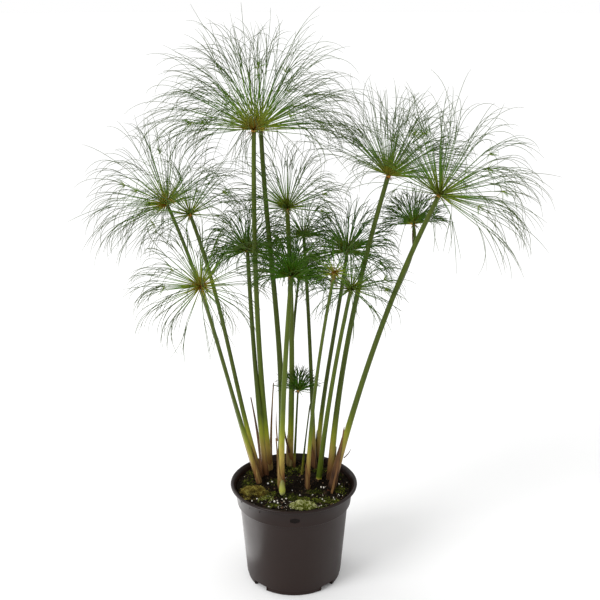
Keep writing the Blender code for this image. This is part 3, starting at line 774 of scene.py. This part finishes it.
# Rays, opening in degrees, droop, thread thickness, shade of green, and how many rays carry a leafy tuft
UMBEL_LOOKS = {
    "01": (116, 82, 1.0, 1.04, 0.60, 6), "02": (112, 90, 1.0, 1.05, 0.55, 5), "03": (106, 98, 1.1, 1.02, 0.60, 4),
    "04": (68, 92, 1.0, 1.00, 0.60, 3), "05": (102, 104, 1.1, 1.06, 0.70, 2), "06": (134, 98, 1.3, 1.42, 0.10, 0),
    "07": (98, 88, 1.0, 1.05, 0.60, 4), "08": (74, 98, 1.2, 1.20, 0.25, 0), "09": (150, 94, 0.9, 1.55, 0.08, 0),
    "10": (44, 96, 1.0, 1.25, 0.10, 0), "11": (124, 76, 0.6, 1.05, 0.50, 6), "12": (108, 84, 1.15, 1.05, 0.55, 6),
    "13": (130, 84, 0.6, 1.25, 0.30, 1), "14": (115, 102, 1.1, 1.45, 0.10, 0), "15": (40, 98, 1.1, 1.05, 0.45, 0),
    "16": (76, 98, 1.1, 1.12, 0.40, 2), "17": (82, 72, 0.3, 1.40, 0.20, 0),
}


YELLOW_HUBS = ("01", "03", "05", "11", "13", "15")
# Longer bracts: heading, length in metres and shade
LONG_BRACTS = {
    "01": [((-1, -0.4, -0.15), 0.024, 0.5), ((-0.9, -0.7, -0.45), 0.020, 0.4), ((0.9, -0.5, -0.3), 0.014, 0.6)],
    "11": [((-1, -0.4, 0.12), 0.028, 0.5), ((1, -0.5, 0.0), 0.022, 0.5), ((-0.3, -1, -0.2), 0.014, 0.4)],
    "13": [((-0.12, -0.15, -1), 0.036, 0.2), ((1, -0.4, -0.1), 0.014, 0.4)],
    "15": [
        ((0.1, -0.3, -1), 0.020, 0.42), ((-0.2, -0.2, -1), 0.016, 0.5), ((0.35, -0.2, -0.9), 0.014, 0.45),
        ((-0.8, -0.6, 0.3), 0.010, 0.6), ((0.8, -0.7, 0.2), 0.010, 0.6), ((0, -1, 0.4), 0.010, 0.65),
    ],
}


def unit(vectors):
    return vectors / np.linalg.norm(vectors, axis=-1, keepdims=True)


def straight_thread(name, steps, shares, widths, thickness=1.0, sides=3):
    """A straight thread or leaf of unit length along Z, with a half width in metres at shares of its length."""
    bpy.ops.mesh.primitive_cylinder_add(vertices=sides, radius=1, depth=1, end_fill_type="NGON", location=(0, 0, 0.5))
    thread = bpy.context.object
    thread.name = name
    bpy.ops.object.transform_apply(location=True, rotation=True, scale=True)
    for edge in thread.data.edges:
        edge.select = abs(np.subtract(*[thread.data.vertices[end].co.z for end in edge.vertices])) > 0.5
    for face in thread.data.polygons:
        face.select = False
    bpy.ops.object.mode_set(mode="EDIT")
    bpy.ops.mesh.select_mode(type="EDGE")
    bpy.ops.mesh.subdivide_edgering(number_cuts=steps - 1)
    bpy.ops.mesh.select_all(action="SELECT")
    bpy.ops.mesh.quads_convert_to_tris()
    bpy.ops.mesh.normals_make_consistent(inside=False)
    bpy.ops.object.mode_set(mode="OBJECT")
    for vert in thread.data.vertices:
        width = float(np.interp(vert.co.z, shares, widths))
        vert.co.x *= width
        vert.co.y *= width * thickness
    corners = np.array([vert.co for vert in thread.data.vertices])
    faces = np.array([face.vertices for face in thread.data.polygons])
    bpy.data.objects.remove(thread)
    return corners, faces


def grow(starts, headings, lengths, steps, sag, curl):
    """Lines of threads that leave their starts along their headings and bend down and aside as they go."""
    points = [starts]
    for step in range(steps):
        share = (step + 0.5) / steps
        across = DOWN - headings * (headings @ DOWN)[:, None]
        headings = unit(headings + (across * sag[:, None] + curl) * (0.2 + 1.6 * share) / steps)
        points.append(points[-1] + headings * lengths[:, None] / steps)
    return np.stack(points, axis=1), headings


def bend_along(shape, lines):
    """Copies of a straight shape, one bent along each line: their points, and their faces counted from 0."""
    corners, faces = shape
    tangents = unit(np.gradient(lines, axis=1))
    level = np.rint(corners[:, 2] * (lines.shape[1] - 1)).astype(int)
    sideways = np.cross(tangents[:, :1], DOWN) + np.array([0.02, 0.03, 0.01])
    thick = unit(np.cross(tangents, sideways))
    wide = np.cross(thick, tangents)
    points = lines[:, level] + wide[:, level] * corners[None, :, :1] + thick[:, level] * corners[None, :, 1:2]
    starts = np.arange(len(lines))[:, None, None] * len(corners)
    return points, faces[None] + starts


def join_copies(name, groups):
    """One piece of several groups of copies: each group has points, faces, and its along and tone values."""
    first, points, faces, alongs, tones = 0, [], [], [], []
    for places, sides, along, tone in groups:
        points.append(places.reshape(-1, 3))
        faces.append(sides.reshape(-1, 3) + first)
        alongs.append(np.broadcast_to(along, places.shape[:2]).ravel())
        tones.append(np.broadcast_to(tone, places.shape[:2]).ravel())
        first += len(points[-1])
    mesh = bpy.data.meshes.new(name)
    mesh.from_pydata(np.concatenate(points).tolist(), [], np.concatenate(faces).tolist())
    mesh.shade_smooth()
    piece = bpy.data.objects.new(name, mesh)
    bpy.context.collection.objects.link(piece)
    store(piece, "along", np.concatenate(alongs))
    store(piece, "tone", np.concatenate(tones))
    return piece


def hub_of(name):
    """The middle of an umbel's hub, the way that it points, and how far its threads reach."""
    middle_at, radius_at, low, high = spines[name]
    axis = (middle_at(high) - middle_at(high - 20 * MM)).normalized()
    corners = np.array([vert.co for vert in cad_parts["umbel_" + name].data.vertices])
    head = middle_at(high)
    reach = np.linalg.norm(corners - np.array(head), axis=1).max()
    return head + axis * 2.5 * MM, axis, reach


threads, tree, shader = new_finish("umbel_green", 0.55, 0.08)
along = add_node(tree, "Attribute", attribute_name="along").outputs["Fac"]
hub_colours = [(0.0, (0.66, 0.28, 0.045)), (0.045, (0.58, 0.40, 0.055)), (0.12, (0.29, 0.34, 0.035))]
fresh = ramp(tree, along, hub_colours + [(0.30, (0.115, 0.21, 0.024)), (0.6, (0.072, 0.098, 0.028)), (1.0, (0.080, 0.090, 0.040))])
deep = ramp(tree, along, hub_colours + [(0.30, (0.042, 0.135, 0.003)), (0.6, (0.036, 0.100, 0.003)), (1.0, (0.046, 0.090, 0.007))])
tree.links.new(blend_colours(tree, tone_of(tree), deep, fresh), shader.inputs["Base Color"])

ray_shape = straight_thread("ray", RAY_STEPS, (0, 0.3, 1.0), (0.64 * MM, 0.57 * MM, 0.42 * MM))
raylet_shape = straight_thread("raylet", RAYLET_STEPS, (0, 0.7, 1.0), (0.36 * MM, 0.33 * MM, 0.15 * MM))
bract_shape = straight_thread("bract", BRACT_STEPS, (0, 0.3, 1.0), (0.9 * MM, 1.1 * MM, 0.12 * MM), 0.3, 4)
bract_lines, bract_tones = [], []
for name, (count, opening, droop, thick, tone, tufts) in UMBEL_LOOKS.items():
    rng = np.random.default_rng(100 + int(name))
    hub, axis, reach = hub_of(name)
    share = (np.arange(count) + 0.5) / count
    open_angle = np.arccos(1 - share * (1 - math.cos(math.radians(opening)))) + rng.normal(0, 0.05, count)
    azimuth = np.arange(count) * GOLDEN_ANGLE + rng.normal(0, 0.12, count)
    level = np.sin(open_angle)
    local = np.stack([np.cos(azimuth) * level, np.sin(azimuth) * level, np.cos(open_angle)], axis=1)
    upright = np.array(Vector((0, 0, 1)).rotation_difference(axis).to_matrix())
    headings = local @ upright.T
    lengths = reach * rng.uniform(0.80, 0.98, count) * {"01": 1.05, "13": 0.8}.get(name, 1.0)
    starts = np.array(hub) + headings * 2.0 * MM
    shades = np.clip(rng.normal(tone, 0.18, (count, 1)), 0, 1)
    rays, ends = grow(
        starts, headings, lengths * RAY_SHARE, RAY_STEPS, droop * rng.uniform(0.12, 0.35, count), rng.normal(0, 0.10, (count, 3))
    )
    parent = np.repeat(np.arange(count), rng.integers(2, 4, count))
    total = len(parent)
    spread = unit(ends[parent] + rng.normal(0, 0.13, (total, 3)))
    raylets, tips = grow(
        rays[parent, -1], spread, lengths[parent] * (1 - RAY_SHARE) * rng.uniform(0.75, 1.15, total), RAYLET_STEPS,
        droop * rng.uniform(0.6, 1.9, total), rng.normal(0, 0.5, (total, 3)) * [1, 1, 0.5],
    )
    bushy = np.repeat(rng.choice(count, tufts, replace=False), 14)
    sprigs, sprig_tips = grow(
        rays[bushy, -1], unit(ends[bushy] + rng.normal(0, 0.75, (len(bushy), 3))), rng.uniform(7, 17, len(bushy)) * MM,
        RAYLET_STEPS, np.full(len(bushy), 0.4), rng.normal(0, 0.3, (len(bushy), 3)),
    )
    girth = np.array([thick, thick, 1.0])
    ray_copy = (ray_shape[0] * girth, ray_shape[1])
    raylet_copy = (raylet_shape[0] * girth, raylet_shape[1])
    mop = join_copies("umbel_rays_" + name, [
        (*bend_along(ray_copy, rays), np.maximum(ray_shape[0][:, 2] * RAY_SHARE, 0.0 if name in YELLOW_HUBS else 0.075), shades),
        (*bend_along(raylet_copy, raylets), RAY_SHARE + raylet_shape[0][:, 2] * (1 - RAY_SHARE), shades[parent]),
        (*bend_along(raylet_shape, sprigs), 0.16 + 0.2 * raylet_shape[0][:, 2], 0.7),
    ])
    place_piece(mop, threads, "umbel_green", "umbel_" + name)
    around = np.arange(7) * math.tau / 7 + rng.normal(0, 0.2, 7)
    under = np.radians(rng.uniform(88, 118, 7))
    local = np.stack([np.cos(around) * np.sin(under), np.sin(around) * np.sin(under), np.cos(under)], axis=1)
    leaves = (local @ upright.T, rng.uniform(0.045, 0.09, 7) * reach + 3 * MM, rng.uniform(0.45, 0.85, 7))
    for heading, length, shade in [*zip(*leaves), *LONG_BRACTS.get(name, [])]:
        way = unit(np.array([heading], dtype=float))
        bend = rng.normal(0, 0.35, (1, 3))
        line, ends = grow(np.array([hub]) - np.array([axis]) * 1.5 * MM, way, np.array([length]), BRACT_STEPS, np.array([0.5]), bend)
        bract_lines.append(line)
        bract_tones.append(shade)

# Umbel bracts and hubs
# Under each umbel sit short pointed leaves, orange brown and papery, round a small scaly cushion that the rays
# come out of. A few are longer and hang or curl.
shades = np.array(bract_tones)[:, None]
bracts = join_copies("umbel_bracts", [(*bend_along(bract_shape, np.concatenate(bract_lines)), bract_shape[0][:, 2], shades)])
place_piece(bracts, husk, "sheath_brown")
places = []
for name in UMBEL_LOOKS:
    hub, axis, reach = hub_of(name)
    size = 1.9 * MM + 0.011 * reach
    turn = Vector((0, 0, 1)).rotation_difference(axis).to_matrix().to_4x4()
    places.append(Matrix.Translation(hub - axis * 0.5 * MM) @ turn @ Matrix.Diagonal((size, size, size * 0.9, 1)))
cushions = []
for seed in range(3):
    bpy.ops.mesh.primitive_ico_sphere_add(subdivisions=3, radius=1)
    cushion = bpy.context.object
    bpy.ops.object.mode_set(mode="EDIT")
    bpy.ops.transform.vertex_random(offset=0.14, seed=seed)
    bpy.ops.object.mode_set(mode="OBJECT")
    cushions.append(cushion)
hubs = scatter("umbel_hubs", cushions, np.array(places), np.linspace(0.5, 0.75, len(places)))
hub_orange, tree, shader = new_finish("hub_orange", 0.6, 0.2)
tree.links.new(ramp(tree, mottle(tree, 500.0), [(0.3, (0.24, 0.085, 0.018)), (0.7, (0.62, 0.30, 0.05))]), shader.inputs["Base Color"])
roughen(tree, shader, mottle(tree, 900.0, 2.0), 0.4, 0.0005)
place_piece(hubs, hub_orange, "umbel_green")

# Studio
# A wide white floor, plain white surroundings, a soft sun from the front left, a weak softbox at the back left and
# a light sheet flat on the floor behind the pot, seen only as its reflection along the pot's left edge.
SHADOW_HEADING = math.radians(37)
LIGHT_HEIGHT = math.radians(36)
bpy.ops.mesh.primitive_circle_add(vertices=64, radius=40, fill_type="NGON", location=(0, 0, -0.2 * MM))
floor = bpy.context.object
floor.name = "floor"
paper, tree, shader = new_finish("floor_paper", 0.9, 0.1)
shader.inputs["Base Color"].default_value = (0.88, 0.88, 0.88, 1)
floor.data.materials.append(paper)
bpy.ops.object.light_add(type="SUN", rotation=(math.radians(90) - LIGHT_HEIGHT, 0, SHADOW_HEADING - math.radians(90)))
sun = bpy.context.object
sun.data.energy = 1.7
sun.data.angle = math.radians(30)
softbox_place = Vector((-1.4, 0.95, 0.75))
aim = (Vector((0, 0, 0.2)) - softbox_place).to_track_quat("-Z", "Y").to_euler()
bpy.ops.object.light_add(type="AREA", location=softbox_place, rotation=aim)
softbox = bpy.context.object
softbox.data.size = 1.2
softbox.data.energy = 10
bpy.ops.object.light_add(type="AREA", location=(-0.34, 0.20, 4 * MM), rotation=(math.pi, 0, 0))
sheet = bpy.context.object
sheet.data.size = 0.5
sheet.data.energy = 1.3
sheet.visible_camera = False
sheet.visible_diffuse = False
world = bpy.data.worlds.new("studio")
world.use_nodes = True
world.node_tree.nodes["Background"].inputs["Color"].default_value = (1, 1, 1, 1)
seen = add_node(world.node_tree, "LightPath").outputs["Is Camera Ray"]
level = add_node(world.node_tree, "MapRange", From_Min=0.0, From_Max=1.0, To_Min=0.92, To_Max=1.0)
world.node_tree.links.new(seen, level.inputs["Value"])
world.node_tree.links.new(level.outputs["Result"], world.node_tree.nodes["Background"].inputs["Strength"])
bpy.context.scene.world = world
bpy.context.scene.view_settings.view_transform = "Standard"
